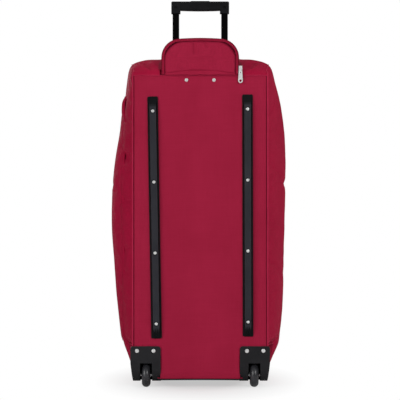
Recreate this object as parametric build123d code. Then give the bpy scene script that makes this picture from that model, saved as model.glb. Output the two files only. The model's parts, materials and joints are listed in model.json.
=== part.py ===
from build123d import *
import os
from math import acos, cos, pi, radians, sin, sqrt

# Rolling duffel bag, standing upright on its two wheels and two front feet. Millimetres, +Z up.
# Everything is laid out with Y = 0 on the outer face of the back panel and Y growing towards the
# front of the bag. save() then moves it so that the origin is the centre of the footprint.

# ---------------------------------------------------------------- driving dimensions
BACK_HALF = 172.0        # half width of the back panel, to the middle of its piping
FRONT_HALF = 159.5       # half width at the front seam
DEPTH = 345.0            # back face to front seam
LOW, HIGH = 24.0, 797.0  # lower and upper edge of the back panel
SEAM_BULGE = 18.0        # how far the packed sides stand out at the end seams
SIDE_BULGE = 43.0        # how much further they stand out at mid height
RIGHT_POWER, LEFT_POWER = 3.0, 2.2   # a higher power makes a squarer side
BOTTOM_TUCK = 0.1        # the sides tuck in over this lowest share of their height
TOP_RISE = 43.0          # top side seams arch this far above the back panel
TOP_CROWN = 9.0          # the end panel crowns above its side seams
BOTTOM_SAG = 7.0
FABRIC = 2.5             # coated polyester with its lining
PIPE_R = 2.0
SEAM = 2.9               # panels stop this far from a seam line, where the piping runs
ORIGIN_Y = 174.25        # footprint centre, measured from the back panel

BOARD = (2.3, 5.3)       # Y range of the rigid base board
TUBE_X, TUBE_Y = 62.3, 21.5
OUTER_TUBE = (21.0, 16.0)
INNER_TUBE = (17.0, 12.0)
TUBE_WALL = 1.2
OUTER_TOP, OUTER_FOOT = 767.5, 66.0
INNER_FOOT, INNER_TOP = 560.0, 977.0

GRIP_TOP, GRIP_DEPTH = 987.2, 22.0
BRACKET_LOW, BRACKET_W = 956.2, 23.4
BAR_LOW = 964.2          # underside of the grip beside the brackets
GRIP_BOW = 1.2           # the underside bows down this much in the middle
SCREW_Z = 972.0
CROSS_BAR = (974.0, 979.0)   # Z of the bar that joins the button to both push rods
BUTTON_TRAVEL, PIN_TRAVEL = 5.0, 3.0

FLAP_HALF, FLAP_H, FLAP_T = 99.0, 93.0, 7.0
FLAP_CORNER, FLAP_ARCH = 48.0, 6.0
FLAP_BACK = -7.7         # Y of the flap's outer face
FLAP_EDGE = 2.5          # width of the zipper coil outside the binding
FLAP_FOOT = HIGH + 2.0

RAIL_LEN, RAIL_W, RAIL_RIDGE_W, RAIL_H = 617.0, 27.0, 16.5, 11.0
RAIL_FLANGE, RAIL_RAMP, RAIL_FOOT_W = 2.0, 26.0, 22.0
RIVET_PITCH = 180.7
RIVET_SEAT_R, RIVET_SINK = 5.8, 3.4   # round seat sunk into the ridge under each rivet
RIB_HALF, RIB_PITCH = 0.8, 5.4
# Each rail as fitted: X and Z of its middle, and its lean from vertical in degrees.
RAILS = ((-116.3, 434.5, 0.95), (121.3, 439.5, 0.14))

HOUSING_X, HOUSING_Z = (101.0, 178.0), (14.5, 106.0)
HOUSING_Y = (-3.0, 72.0)
HOUSING_WALL, HOUSING_ROUND, HOUSING_TAPER = 3.0, 36.0, 6.0
HOUSING_RIVETS = ((119.0, 94.5), (161.0, 94.5))
WHEEL_X, WHEEL_Y, WHEEL_R, WHEEL_W = 138.3, 22.0, 31.0, 22.0
TYRE_SHOULDER = 10.4
AXLE_R, AXLE_FIT = 4.0, 0.05
SLOT_HALF, SLOT_TOP = 15.2, 62.5
CHEEK = 2.5

FOOT_X, FOOT_Y, FOOT_H = 120.0, 300.0, 20.0
TRAY_RIVETS = ((-35.0, 785.0), (35.0, 785.0))
SHANK_R, HOLE_R = 2.0, 2.1

LID_X, LID_Z = 116.0, (112.0, 732.0)
FRAME_X, FRAME_Z = 126.0, (110.0, 742.0)
LID_CROWN = 12.0
CHAIN_GAP = 0.3
POCKET_LIFT, POCKET_FRONT, POCKET_SHARE = 5.0, 300.0, (0.1, 0.9)
POCKET_INSET = 25.5      # the pocket's back edge stands this far outside the back panel


# ---------------------------------------------------------------- helpers
def block(x, y, z):
    """A box from three (low, high) pairs."""
    size = [b - a for a, b in (x, y, z)]
    middle = [(a + b) / 2 for a, b in (x, y, z)]
    return Pos(*middle) * Box(*size)


def rod(start, end, radius):
    """A cylinder between two points."""
    start, end = Vector(*start), Vector(*end)
    plane = Plane(origin=start, z_dir=end - start)
    return extrude(plane * Circle(radius), (end - start).length)


def column(size, corner, z, x=0.0, y=TUBE_Y):
    """An upright bar with a rounded rectangular section."""
    return extrude(Pos(x, y, z[0]) * RectangleRounded(*size, corner), z[1] - z[0])


def grown(size, gap):
    return (size[0] + 2 * gap, size[1] + 2 * gap)


def mirrored(shape):
    return mirror(shape, about=Plane.YZ)


def pair(shape):
    return [shape, mirrored(shape)]


def cut(shape, tools):
    for tool in tools:
        shape = shape - tool
    return shape


def steps(count, low=0.0, high=1.0):
    return [low + (high - low) * i / (count - 1) for i in range(count)]


def sheet(point, rows, columns, thickness, inward):
    """A thin solid whose outer face runs through point(row, column)."""
    face = Face.make_surface_from_array_of_points([[point(r, c) for c in columns] for r in rows])
    return Solid.thicken(face, thickness, normal_override=inward)


def save(name, shapes):
    os.makedirs("parts", exist_ok=True)
    solids = [s for shape in shapes for s in shape.solids()]
    export_step(Pos(0, -ORIGIN_Y, 0) * Compound(children=solids), f"parts/{name}.step")


# ---------------------------------------------------------------- the packed bag's outer form
def hump(y):
    """0 at the back and front seams, 1 half way."""
    t = y / DEPTH
    return 4 * t * (1 - t)


def half_width(s, y, bulge=SIDE_BULGE, power=RIGHT_POWER):
    stands_out = SEAM_BULGE * min(1, s / BOTTOM_TUCK) + bulge * (1 - abs(2 * s - 1) ** power)
    return BACK_HALF + (FRONT_HALF - BACK_HALF) * y / DEPTH + stands_out * hump(y)


def top_edge(y):
    return HIGH + TOP_RISE * sqrt(max(0.0, hump(y)))


def side_point(s, y, lift=0.0, bulge=SIDE_BULGE, power=RIGHT_POWER):
    return (half_width(s, y, bulge, power) + lift, y, LOW + s * (top_edge(y) - LOW))


def pocket_side_point(s, y, lift=0.0):
    """The left side is that much flatter under its pocket."""
    return side_point(s, y, lift, SIDE_BULGE - POCKET_LIFT, LEFT_POWER)


def top_point(a, y):
    """a runs from -1 to 1 across the bag."""
    x = a * (half_width(1, y) - SEAM)
    return (x, y, top_edge(y) + TOP_CROWN * (1 - a ** 4) * sqrt(max(0.0, hump(y))))


def raised_top_point(a, y, lift):
    """The point that far out from the end panel, square to it."""
    step = 0.2
    here = Vector(*top_point(a, y))
    across = Vector(*top_point(a + step / BACK_HALF, y)) - here
    along = Vector(*top_point(a, y + step)) - Vector(*top_point(a, y - step))
    return tuple(here + across.cross(along).normalized() * lift)


def bottom_point(a, y):
    return (a * (half_width(0, y) - SEAM), y, LOW - BOTTOM_SAG * (1 - a ** 4) * hump(y))


def depths(count, start, end):
    """Y positions that crowd towards the seams, where the form turns fastest."""
    first, last = (acos(1 - 2 * y / DEPTH) for y in (start, end))
    return [DEPTH / 2 * (1 - cos(angle)) for angle in steps(count, first, last)]


ACROSS = steps(9, -1.0, 1.0)
ALONG = depths(11, SEAM + 0.6, DEPTH - SEAM)
TOP_ALONG = depths(13, 1.0, DEPTH - 1.0)
TAPE_ALONG = depths(11, 7.0, DEPTH / 2)


def housing_space():
    """The corner that a wheel housing takes out of the fabric."""
    x, z = HOUSING_X, HOUSING_Z
    return block((x[0] - 1, 260), (-20, HOUSING_Y[1] + 1), (0, z[1] + 1))


SIDE_SHARE = steps(13, SEAM / (HIGH - LOW), 1 - SEAM / (HIGH - LOW))


def side_panel(point):
    return sheet(point, SIDE_SHARE, ALONG, FABRIC, (-1, 0, 0)) - housing_space()


def corner_gusset(point):
    """Shelf and wall that close the bag behind a wheel housing."""
    inside = sheet(lambda s, y: point(s, y, -FABRIC - 2), SIDE_SHARE, ALONG, 45, (-1, 0, 0))
    front, top = HOUSING_Y[1] + 1.3, HOUSING_Z[1] + 1.3
    shelf = block((100, 260), (BOARD[1] + 0.3, front + 2), (top, top + 2))
    wall = block((100, 260), (front, front + 2), (LOW + 3, top + 2))
    return (shelf + wall) & inside


def pocket_edge(s):
    """Depth of the pocket's back edge, which looks upright from behind."""
    stands_out = SEAM_BULGE + SIDE_BULGE * (1 - abs(2 * s - 1) ** LEFT_POWER)
    return DEPTH / 2 * (1 - sqrt(1 - POCKET_INSET / stands_out))


def side_pocket():
    def point(s, t):
        back = pocket_edge(s)
        return pocket_side_point(s, back + t * (POCKET_FRONT - back), POCKET_LIFT)
    return mirrored(sheet(point, steps(9, *POCKET_SHARE), steps(9), FABRIC, (-1, 0, 0)))


def pocket_zipper():
    """Tape along the pocket's front edge, parted round the slider's post."""
    share = steps(9, 0.14, 0.86)
    band = steps(3, POCKET_FRONT + 1, POCKET_FRONT + 11)
    tape = mirrored(sheet(lambda s, y: pocket_side_point(s, y, POCKET_LIFT), share, band, 1.2, (-1, 0, 0)))
    return tape - POCKET_ZIP * block((-1.5, 1.5), (3, 8), (7.5, 13))


def arch(half, height, corner):
    """The flap's outline: upright sides, round corners and a gently arched top."""
    shoulder = height - FLAP_ARCH
    outline = make_face([
        Polyline((-half, shoulder), (-half, 0), (half, 0), (half, shoulder)),
        ThreePointArc((half, shoulder), (0, height), (-half, shoulder)),
    ])
    return fillet(outline.vertices().group_by(Axis.Y)[-1], corner)


def arch_prism(half, height, corner, low, high):
    return extrude(Pos(0, 0, low) * arch(half, height, corner), high - low)


def top_end_panel():
    panel = sheet(top_point, ACROSS, TOP_ALONG, FABRIC, (0, 0, -1))
    return panel - arch_prism(FLAP_HALF, FLAP_H - 10, FLAP_CORNER, HIGH - 40, HIGH + 80)


def flap_tape_on_bag():
    """Zipper tape sewn round the mouth that the flap closes."""
    tape = sheet(lambda a, y: raised_top_point(a, y, 1.8), ACROSS, TAPE_ALONG, 1.2, (0, 0, -1))
    ring = arch_prism(FLAP_HALF + 8, FLAP_H - 2, FLAP_CORNER + 8, HIGH - 40, HIGH + 80)
    return (tape & ring) - arch_prism(FLAP_HALF, FLAP_H - 10, FLAP_CORNER, HIGH - 60, HIGH + 90)


def bottom_end_panel():
    panel = sheet(bottom_point, ACROSS, ALONG, FABRIC, (0, 0, 1))
    holes = [rod((x, FOOT_Y, 0), (x, FOOT_Y, 60), HOLE_R + 0.4) for x in (-FOOT_X, FOOT_X)]
    return cut(panel, pair(housing_space()) + holes)


def piping():
    """Corded piping on every long seam."""
    back = rod((BACK_HALF - 0.7, 0.2, HOUSING_Z[1] + 2), (BACK_HALF - 0.7, 0.2, HIGH - 1), PIPE_R)
    front = rod((FRONT_HALF, DEPTH + 0.5, LOW + 6), (FRONT_HALF, DEPTH + 0.5, HIGH - 4), PIPE_R)
    cords = pair(back) + pair(front)
    path = Wire([Spline(*[side_point(1, y) for y in depths(11, 5.0, DEPTH - 4)])])
    top = sweep(Plane(origin=path @ 0, z_dir=path % 0) * Circle(PIPE_R), path)
    bottom = rod(side_point(0, HOUSING_Y[1] + 4), side_point(0, DEPTH - 4), PIPE_R)
    return cords + pair(top) + pair(bottom)


# ---------------------------------------------------------------- boards and rivets
def rail_spots():
    """(X, Z) of each of the eight rail rivets."""
    spots = []
    for x, z, lean in RAILS:
        for i in (-1.5, -0.5, 0.5, 1.5):
            reach = i * RIVET_PITCH
            spots.append((x - reach * sin(radians(lean)), z + reach * cos(radians(lean))))
    return spots


def housing_spots():
    return [(sign * x, z) for sign in (-1, 1) for x, z in HOUSING_RIVETS]


def rivet_holes(low, high):
    spots = rail_spots() + housing_spots() + list(TRAY_RIVETS)
    return [rod((x, low, z), (x, high, z), HOLE_R) for x, z in spots]


def rivet(spot, head, face, tail, head_h=1.8):
    """Tubular rivet: domed head outside at Y = face, shank, and a clinched tail inside."""
    x, z = spot
    shank = rod((x, face, z), (x, tail, z), SHANK_R)
    dome = rod((x, face - head_h, z), (x, face, z), head)
    dome = fillet(dome.edges().group_by(Axis.Y)[0], head_h * 0.6)
    clinch = rod((x, tail - 1.3, z), (x, tail, z), SHANK_R + 1.2)
    return shank + dome + clinch


def rivet_washers():
    """Steel washers behind the board, under the tails of the rail and housing rivets."""
    spots = rail_spots() + housing_spots()
    y = BOARD[1] + 0.1
    return [rod((x, y, z), (x, y + 1, z), 6.0) - rod((x, y - 1, z), (x, y + 2, z), HOLE_R)
            for x, z in spots]


def corner_cuts(inset, top):
    return pair(block((HOUSING_X[0] + inset, 200), (-20, 30), (0, top)))


def back_panel():
    edge = BACK_HALF - SEAM
    panel = block((-edge, edge), (0, 2), (LOW, HIGH - 1))
    return cut(panel, corner_cuts(-1, 84) + rivet_holes(-5, 10))


def base_board():
    panel = block((-163, 163), BOARD, (LOW + 5, HIGH - 4))
    return cut(panel, corner_cuts(-1, 86) + rivet_holes(-5, 10))


def bottom_board():
    """Stiffener that the front feet screw into."""
    board = block((-146, 146), (84, 335), (27.5, 31))
    return cut(board, [rod((x, FOOT_Y, 0), (x, FOOT_Y, 60), 1.9) for x in (-FOOT_X, FOOT_X)])


# ---------------------------------------------------------------- skid rails
def ramp_ribs():
    """Three upright ribs on the lower ramp."""
    foot, top = 1 - RAIL_LEN / 2, RAIL_RAMP - RAIL_LEN / 2
    wedge = Plane.YZ * Polygon((-RAIL_FLANGE, foot), (-RAIL_H, top), (-RAIL_H, top - 4.5),
                               (-RAIL_FLANGE - 1.6, foot), align=None)
    rib = extrude(wedge, RIB_HALF, both=True)
    return [Pos(x, 0, 0) * rib for x in (-RIB_PITCH, 0, RIB_PITCH)]


def skid_rail(x, z, lean):
    """Moulded runner: a flange, a ridge with sloping sides and ramped ends, and sunk rivet seats."""
    half = RAIL_LEN / 2
    flange = extrude(Plane.XZ * RectangleRounded(RAIL_W, RAIL_LEN, 4), RAIL_FLANGE)
    section = Polygon((-RAIL_FOOT_W / 2, 0), (-RAIL_RIDGE_W / 2, -RAIL_H), (RAIL_RIDGE_W / 2, -RAIL_H),
                      (RAIL_FOOT_W / 2, 0), align=None)
    ridge = extrude(Pos(0, 0, -half) * section, RAIL_LEN)
    side = Polygon((0, -half + 1), (0, half - 1), (-RAIL_FLANGE, half - 1), (-RAIL_H, half - RAIL_RAMP),
                   (-RAIL_H, RAIL_RAMP - half), (-RAIL_FLANGE, 1 - half), align=None)
    ridge = ridge & extrude(Plane.YZ * side, RAIL_W, both=True)
    rail = flange + ridge + ramp_ribs()
    for i in (-1.5, -0.5, 0.5, 1.5):
        spot = i * RIVET_PITCH
        rail = rail - rod((0, -RAIL_H - 1, spot), (0, -RAIL_H + RIVET_SINK, spot), RIVET_SEAT_R)
        rail = rail - rod((0, -RAIL_H - 1, spot), (0, 1, spot), HOLE_R)
    for i in (-1, 0, 1):
        middle = i * RIVET_PITCH
        rail = rail - block((-6, 6), (-RAIL_H + 2.5, 1), (middle - 78, middle + 78))
    return Pos(x, 0, z) * Rot(0, -lean, 0) * rail


# ---------------------------------------------------------------- wheels and housings
def housing_profile(inset):
    """Side view of the housing: upright back, a large round, and a flat bottom."""
    back, low = HOUSING_Y[0] + inset, HOUSING_Z[0] + inset
    high, front = HOUSING_Z[1] + inset, HOUSING_Y[1] + inset
    turn = HOUSING_ROUND - inset
    knee = turn * (1 - cos(pi / 4))
    lines = [
        Line((back, high), (back, low + turn)),
        ThreePointArc((back, low + turn), (back + knee, low + knee), (back + turn, low)),
        Line((back + turn, low), (front, low)),
        Line((front, low), (front, high)),
        Line((front, high), (back, high)),
    ]
    return make_face([Plane.YZ * line for line in lines])


def slot_cut():
    """The wheel's opening, with the two ears that clear the axle."""
    x = (WHEEL_X - SLOT_HALF, WHEEL_X + SLOT_HALF)
    ears = block((x[0] - 3.4, x[1] + 3.4), (-10, 3), (24, 35))
    return block(x, (-10, 56), (0, SLOT_TOP)) + ears


def wheel_housing():
    """Moulded corner: back and bottom wall, outer side wall, and the box that holds the wheel."""
    x, z = HOUSING_X, HOUSING_Z
    outer = extrude(Pos(x[0], 0, 0) * housing_profile(0), x[1] - x[0])
    corners = outer.edges().filter_by(Axis.Y).group_by(Axis.Z)[-1]
    outer = fillet(corners, 7)
    hollow = extrude(Pos(x[0] - 1, 0, 0) * housing_profile(HOUSING_WALL), x[1] - x[0] + 1 - HOUSING_WALL)
    shell = outer - hollow
    box_x = (WHEEL_X - SLOT_HALF - CHEEK, WHEEL_X + SLOT_HALF + CHEEK)
    box = block(box_x, (HOUSING_Y[0] + 1, 58), (HOUSING_Z[0] + 1, 67)) & outer
    box = box - block((box_x[0] + CHEEK, box_x[1] - CHEEK), (-10, 55.5), (0, 64.5))
    taper = Polygon((x[1], SLOT_TOP), (x[1] - HOUSING_TAPER, z[0] - 1), (x[1] + 20, z[0] - 1),
                    (x[1] + 20, SLOT_TOP), align=None)
    taper = extrude(Plane.XZ * taper, 200, both=True)
    housing = shell + box - slot_cut() - taper
    housing = housing - rod((box_x[0] - 9, WHEEL_Y, WHEEL_R), (box_x[1] + 9, WHEEL_Y, WHEEL_R), AXLE_R + 0.1)
    for spot in HOUSING_RIVETS:
        housing = housing - rod((spot[0], -5, spot[1]), (spot[0], 1, spot[1]), HOLE_R)
    return housing


def ring(width, radius, bore):
    """A ring about the axle line of the right wheel."""
    x = (WHEEL_X - width / 2, WHEEL_X + width / 2)
    centre = (WHEEL_Y, WHEEL_R)
    return rod((x[0], *centre), (x[1], *centre), radius) - rod((x[0] - 1, *centre), (x[1] + 1, *centre), bore)


def tyre():
    """Round-shouldered tread on a cylindrical seat."""
    body = ring(WHEEL_W, WHEEL_R, 20.0)
    rims = body.edges().filter_by(GeomType.CIRCLE).sort_by(SortBy.LENGTH)[-2:]
    return fillet(rims, TYRE_SHOULDER)


def hub():
    """Moulded centre with a bearing seat each side."""
    body = ring(WHEEL_W - 3, 19.9, 8.0)
    for side in (-1, 1):
        seat = Pos(side * (WHEEL_W / 2 - 4.5), 0, 0) * ring(8, 11.05, 1.0)
        body = body - seat
    return body


def bearings():
    return [Pos(side * (WHEEL_W / 2 - 5), 0, 0) * ring(7, 11.0, AXLE_R + AXLE_FIT) for side in (-1, 1)]


def axle():
    """Headed pin through both cheeks of the wheel box."""
    reach = SLOT_HALF + CHEEK + 0.2
    centre = (WHEEL_Y, WHEEL_R)
    pin = rod((WHEEL_X - reach - 2, *centre), (WHEEL_X + reach + 2, *centre), AXLE_R)
    for side in (-1, 1):
        inner, outer = WHEEL_X + side * reach, WHEEL_X + side * (reach + 2)
        pin = pin + rod((inner, *centre), (outer, *centre), 6.5)
    return pin


def axle_washers():
    shift = WHEEL_W / 2 + 0.1 - 1.4
    return [Pos(side * (shift + 1.2), 0, 0) * ring(1.2, 6.5, AXLE_R + AXLE_FIT) for side in (-1, 1)]


def front_foot():
    """Tapered foot with a flat sole and a sunk screw."""
    sole = Pos(FOOT_X, FOOT_Y, 0) * RectangleRounded(40, 24, 6)
    seat = Pos(FOOT_X, FOOT_Y, FOOT_H) * RectangleRounded(52, 36, 8)
    foot = loft([sole.face(), seat.face()])
    foot = foot - rod((FOOT_X, FOOT_Y, -1), (FOOT_X, FOOT_Y, 7), 4.5)
    return foot - rod((FOOT_X, FOOT_Y, 0), (FOOT_X, FOOT_Y, 30), HOLE_R)


def foot_screw():
    head = rod((FOOT_X, FOOT_Y, 4.4), (FOOT_X, FOOT_Y, 7), 4.0)
    nut = extrude(Pos(FOOT_X, FOOT_Y, 31.2) * RegularPolygon(4, 6), 3)
    return head + rod((FOOT_X, FOOT_Y, 7), (FOOT_X, FOOT_Y, 36), 1.8) + nut


# ---------------------------------------------------------------- trolley
def hollow_tube(size, z, x):
    corner = size[1] / 2 - 1.5
    inside = grown(size, -TUBE_WALL)
    return column(size, corner, z, x) - column(inside, corner - TUBE_WALL, (z[0] - 1, z[1] + 1), x)


def outer_tube():
    tube = hollow_tube(OUTER_TUBE, (OUTER_FOOT, OUTER_TOP), TUBE_X)
    stops = [rod((TUBE_X + 5, TUBE_Y, z), (TUBE_X + 15, TUBE_Y, z), 3.3) for z in (405.0, 665.0)]
    return cut(tube, stops)


PIN_Z = INNER_FOOT + 25


def inner_tube():
    tube = hollow_tube(INNER_TUBE, (INNER_FOOT, INNER_TOP), TUBE_X)
    tube = tube - rod((TUBE_X + 3, TUBE_Y, PIN_Z), (TUBE_X + 12, TUBE_Y, PIN_Z), 3.3)
    tube = tube - rod((TUBE_X, 0, SCREW_Z), (TUBE_X, 50, SCREW_Z), HOLE_R)
    window = (CROSS_BAR[0] - 7, CROSS_BAR[1] + 4)
    return tube - block((TUBE_X - 12, TUBE_X - 3.5), (TUBE_Y - 4, TUBE_Y + 4), window)


def tube_collar():
    """Plastic sleeve that guides the inner tube at the mouth of the outer one."""
    room = grown(OUTER_TUBE, -TUBE_WALL - 0.05)
    sleeve = column(room, 5.5, (OUTER_TOP - 12, OUTER_TOP + 0.2), TUBE_X)
    lip = column(grown(OUTER_TUBE, 1.5), 7.0, (OUTER_TOP + 0.2, OUTER_TOP + 2.4), TUBE_X)
    bore = column(grown(INNER_TUBE, 0.1), 4.6, (OUTER_TOP - 20, OUTER_TOP + 10), TUBE_X)
    return sleeve + lip - bore


def end_plug():
    """Glide and pin carrier in the foot of the inner tube."""
    spigot = column(grown(INNER_TUBE, -TUBE_WALL - 0.1), 3.5, (INNER_FOOT, INNER_FOOT + 42), TUBE_X)
    glide = column(grown(OUTER_TUBE, -TUBE_WALL - 0.15), 4.8, (INNER_FOOT - 7, INNER_FOOT - 0.1), TUBE_X)
    glide = glide + column((12, 7), 2.0, (INNER_FOOT - 1, INNER_FOOT + 1), TUBE_X)
    plug = spigot + glide
    plug = plug - rod((TUBE_X - 12, TUBE_Y, PIN_Z), (TUBE_X + 12, TUBE_Y, PIN_Z), 3.1)
    return plug - block((TUBE_X - 6.8, TUBE_X + 6.6), (TUBE_Y - 1.7, TUBE_Y + 1.7), (PIN_Z - 11, 620))


def slanted(z, half_x, half_y):
    """A bar leaning inwards as it rises, so that moving it down draws the lock pin in."""
    slope = PIN_TRAVEL / BUTTON_TRAVEL
    ends = [(TUBE_X + 2.5 - slope * (h - PIN_Z), h) for h in z]
    corners = [(ends[0][0] - half_x, z[0]), (ends[0][0] + half_x, z[0]),
               (ends[1][0] + half_x, z[1]), (ends[1][0] - half_x, z[1])]
    bar = Plane.XZ.offset(-TUBE_Y) * Polygon(*corners, align=None)
    return extrude(bar, half_y, both=True)


def lock_pin():
    pin = rod((TUBE_X - 3.2, TUBE_Y, PIN_Z), (TUBE_X + 9.1, TUBE_Y, PIN_Z), 3.0)
    return pin - slanted((PIN_Z - 5, PIN_Z + 5), 1.25, 1.55)


def push_rod():
    """Rod from the button's cross bar to the wedge at the lock pin."""
    wedge = slanted((PIN_Z - 3.5, PIN_Z + 9), 1.0, 1.25)
    shoulder = block((TUBE_X - 6.2, TUBE_X - 1.9), (TUBE_Y - 1.25, TUBE_Y + 1.25), (PIN_Z + 8.5, PIN_Z + 12))
    shank = rod((TUBE_X - 5, TUBE_Y, PIN_Z + 11), (TUBE_X - 5, TUBE_Y, CROSS_BAR[0] - 0.1), 1.2)
    return wedge + shoulder + shank


def grip_body():
    """Straight bar with deeper corner brackets; the underside bows down a little."""
    outer_x, inner_x = TUBE_X + BRACKET_W / 2, TUBE_X - BRACKET_W / 2
    lines = [
        Polyline((-inner_x, BAR_LOW), (-inner_x, BRACKET_LOW), (-outer_x, BRACKET_LOW), (-outer_x, GRIP_TOP),
                 (outer_x, GRIP_TOP), (outer_x, BRACKET_LOW), (inner_x, BRACKET_LOW), (inner_x, BAR_LOW)),
        ThreePointArc((inner_x, BAR_LOW), (0, BAR_LOW - GRIP_BOW), (-inner_x, BAR_LOW)),
    ]
    face = make_face([Plane.XZ.offset(-TUBE_Y) * line for line in lines])
    body = extrude(face, GRIP_DEPTH / 2, both=True)
    bar_edges = [e for e in body.edges() if abs(e.center().Y - TUBE_Y) > 10 and abs(e.center().X) < 1]
    body = fillet(bar_edges, 4.5)
    corners = [e for e in body.edges().filter_by(Axis.Y) if e.center().Z > GRIP_TOP - 6]
    return fillet(corners, 3.0)


def grip_shells():
    """The grip splits along the tubes' plane into a back and a front half."""
    body = grip_body()
    for x in (-TUBE_X, TUBE_X):
        body = body - column(grown(INNER_TUBE, 0.1), 4.6, (940, INNER_TOP + 0.3), x)
        body = body - rod((x, 0, SCREW_Z), (x, 29, SCREW_Z), HOLE_R - 0.2)
        body = body - rod((x, 0, SCREW_Z), (x, TUBE_Y - 7, SCREW_Z), 3.0)
    travel = (CROSS_BAR[0] - BUTTON_TRAVEL - 0.6, CROSS_BAR[1] + 1.5)
    body = body - block((-60, 60), (TUBE_Y - 3.4, TUBE_Y + 3.4), travel)
    well = (CROSS_BAR[1] - BUTTON_TRAVEL - 0.5, 1000)
    body = body - block((-24.4, 24.4), (TUBE_Y - 6.4, TUBE_Y + 6.4), well)
    gap = 0.05
    back = body & block((-100, 100), (0, TUBE_Y - gap), (900, 1000))
    front = body & block((-100, 100), (TUBE_Y + gap, 60), (900, 1000))
    return back, front


def grip_screws():
    screws = []
    for x in (-TUBE_X, TUBE_X):
        head = rod((x, TUBE_Y - 9, SCREW_Z), (x, TUBE_Y - 7.1, SCREW_Z), 2.8)
        head = head - block((x - 0.4, x + 0.4), (0, TUBE_Y - 8.1), (SCREW_Z - 2, SCREW_Z + 2))
        head = head - block((x - 2, x + 2), (0, TUBE_Y - 8.1), (SCREW_Z - 0.4, SCREW_Z + 0.4))
        screws.append(head + rod((x, TUBE_Y - 7.1, SCREW_Z), (x, 28.5, SCREW_Z), 1.7))
    return screws


def release_button():
    cap = block((-24, 24), (TUBE_Y - 6, TUBE_Y + 6), (CROSS_BAR[1], GRIP_TOP + 1.5))
    cap = fillet(cap.edges().group_by(Axis.Z)[-1], 1.5)
    bar = block((-58.7, 58.7), (TUBE_Y - 3, TUBE_Y + 3), CROSS_BAR)
    return cap + bar


def handle_tray():
    """Moulded well that takes the grip when it is pushed down."""
    x, y = 81.0, (5.9, 37.5)
    tray = block((-x, x), y, (OUTER_TOP - 3.5, HIGH - 1))
    tray = tray - block((2 - x, x - 2), (y[0] + 2, y[1] - 2), (OUTER_TOP - 0.5, HIGH + 10))
    for tx in (-TUBE_X, TUBE_X):
        tray = tray - column(grown(OUTER_TUBE, 0.1), 6.6, (700, 800), tx)
    for rx, rz in TRAY_RIVETS:
        tray = tray - rod((rx, 0, rz), (rx, 12, rz), HOLE_R)
    return tray


def well_lining():
    """Lining of the mouth round the tray: a floor and a wall up to the top panel."""
    floor = HIGH - 9
    half, depth, corner = FLAP_HALF - 1, FLAP_H - 12, FLAP_CORNER - 2
    tub = arch_prism(half, depth, corner, floor, HIGH + 50)
    tub = tub - arch_prism(half - 1.5, depth - 1.5, corner - 1.5, floor + 1.5, HIGH + 60)
    above = sheet(lambda a, y: raised_top_point(a, y, -FABRIC - 0.4), ACROSS, TOP_ALONG, 60, (0, 0, 1))
    tub = tub - above - block((-120, 120), (-5, 6.2), (700, 900))
    return tub - block((-82, 82), (-5, 38.5), (700, 900))


def tube_foot_bracket():
    """Block that ties both tube feet to the base board."""
    body = block((-80, 80), (BOARD[1] + 0.3, 33), (OUTER_FOOT - 14, OUTER_FOOT + 16))
    body = fillet(body.edges().filter_by(Axis.Z), 5)
    for x in (-TUBE_X, TUBE_X):
        body = body - column(grown(OUTER_TUBE, 0.1), 6.6, (OUTER_FOOT - 0.1, 200), x)
    return body - block((-40, 40), (12, 40), (OUTER_FOOT - 10, 200))


def tube_cover():
    """Lining sheet that closes the tubes off from the packing space."""
    lines = Polyline((-106, 7.2), (-96, 7.2), (-84, 39.5), (84, 39.5), (96, 7.2), (106, 7.2))
    path = offset(lines, 0.6, side=Side.BOTH)
    return extrude(Pos(0, 0, 112) * make_face(path), 646)


# ---------------------------------------------------------------- flap over the handle
def upright(sketch, y, thickness):
    """A sketch stood up in the XZ plane at the flap's foot, growing from Y = y towards the front."""
    return extrude(Plane(origin=(0, y, FLAP_FOOT), x_dir=(1, 0, 0), z_dir=(0, -1, 0)) * sketch, -thickness)


def flap_ring(outset, inset, y, thickness):
    """A band round the flap, between two distances in from its outer edge."""
    rim = arch(FLAP_HALF - outset, FLAP_H - outset, FLAP_CORNER - outset)
    return upright(rim - arch(FLAP_HALF - inset, FLAP_H - inset, FLAP_CORNER - inset), y, thickness)


def handle_flap():
    inset = FLAP_EDGE + 5.3
    body = arch(FLAP_HALF - inset, FLAP_H - inset, FLAP_CORNER - inset)
    return upright(body, FLAP_BACK + 0.8, FLAP_T - 1.6)


def flap_binding():
    return flap_ring(FLAP_EDGE, FLAP_EDGE + 5, FLAP_BACK, FLAP_T)


def flap_tape():
    """Zipper tape behind the binding, with its coil standing proud of the edge."""
    tape = flap_ring(0, FLAP_EDGE + 7, FLAP_BACK + FLAP_T + 0.2, 1.2)
    return tape + flap_ring(0, FLAP_EDGE - 0.2, FLAP_BACK + FLAP_T - 0.9, 2.3)


# ---------------------------------------------------------------- zip sliders and pulls
# A slider lies along Z with its outer side to -Y; its pull hangs from a cross pin at the origin.
PIN_R = 0.8
SLOT_Y = (4.0, 6.7)      # the two plates of a slider leave this slot for the zipper


def zip_slider():
    body = block((-4.5, 4.5), (2.0, 8.0), (-3, 12))
    body = fillet(body.edges().filter_by(Axis.Y), 1.8)
    post = block((-1.2, 1.2), SLOT_Y, (8, 12))
    body = body - block((-5, 5), SLOT_Y, (-5, 15)) + post
    lugs = block((-4.5, -3.0), (-1.2, 2.5), (-1.4, 1.4)) + block((3.0, 4.5), (-1.2, 2.5), (-1.4, 1.4))
    return body + lugs + rod((-4.5, 0, 0), (4.5, 0, 0), PIN_R)


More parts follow.
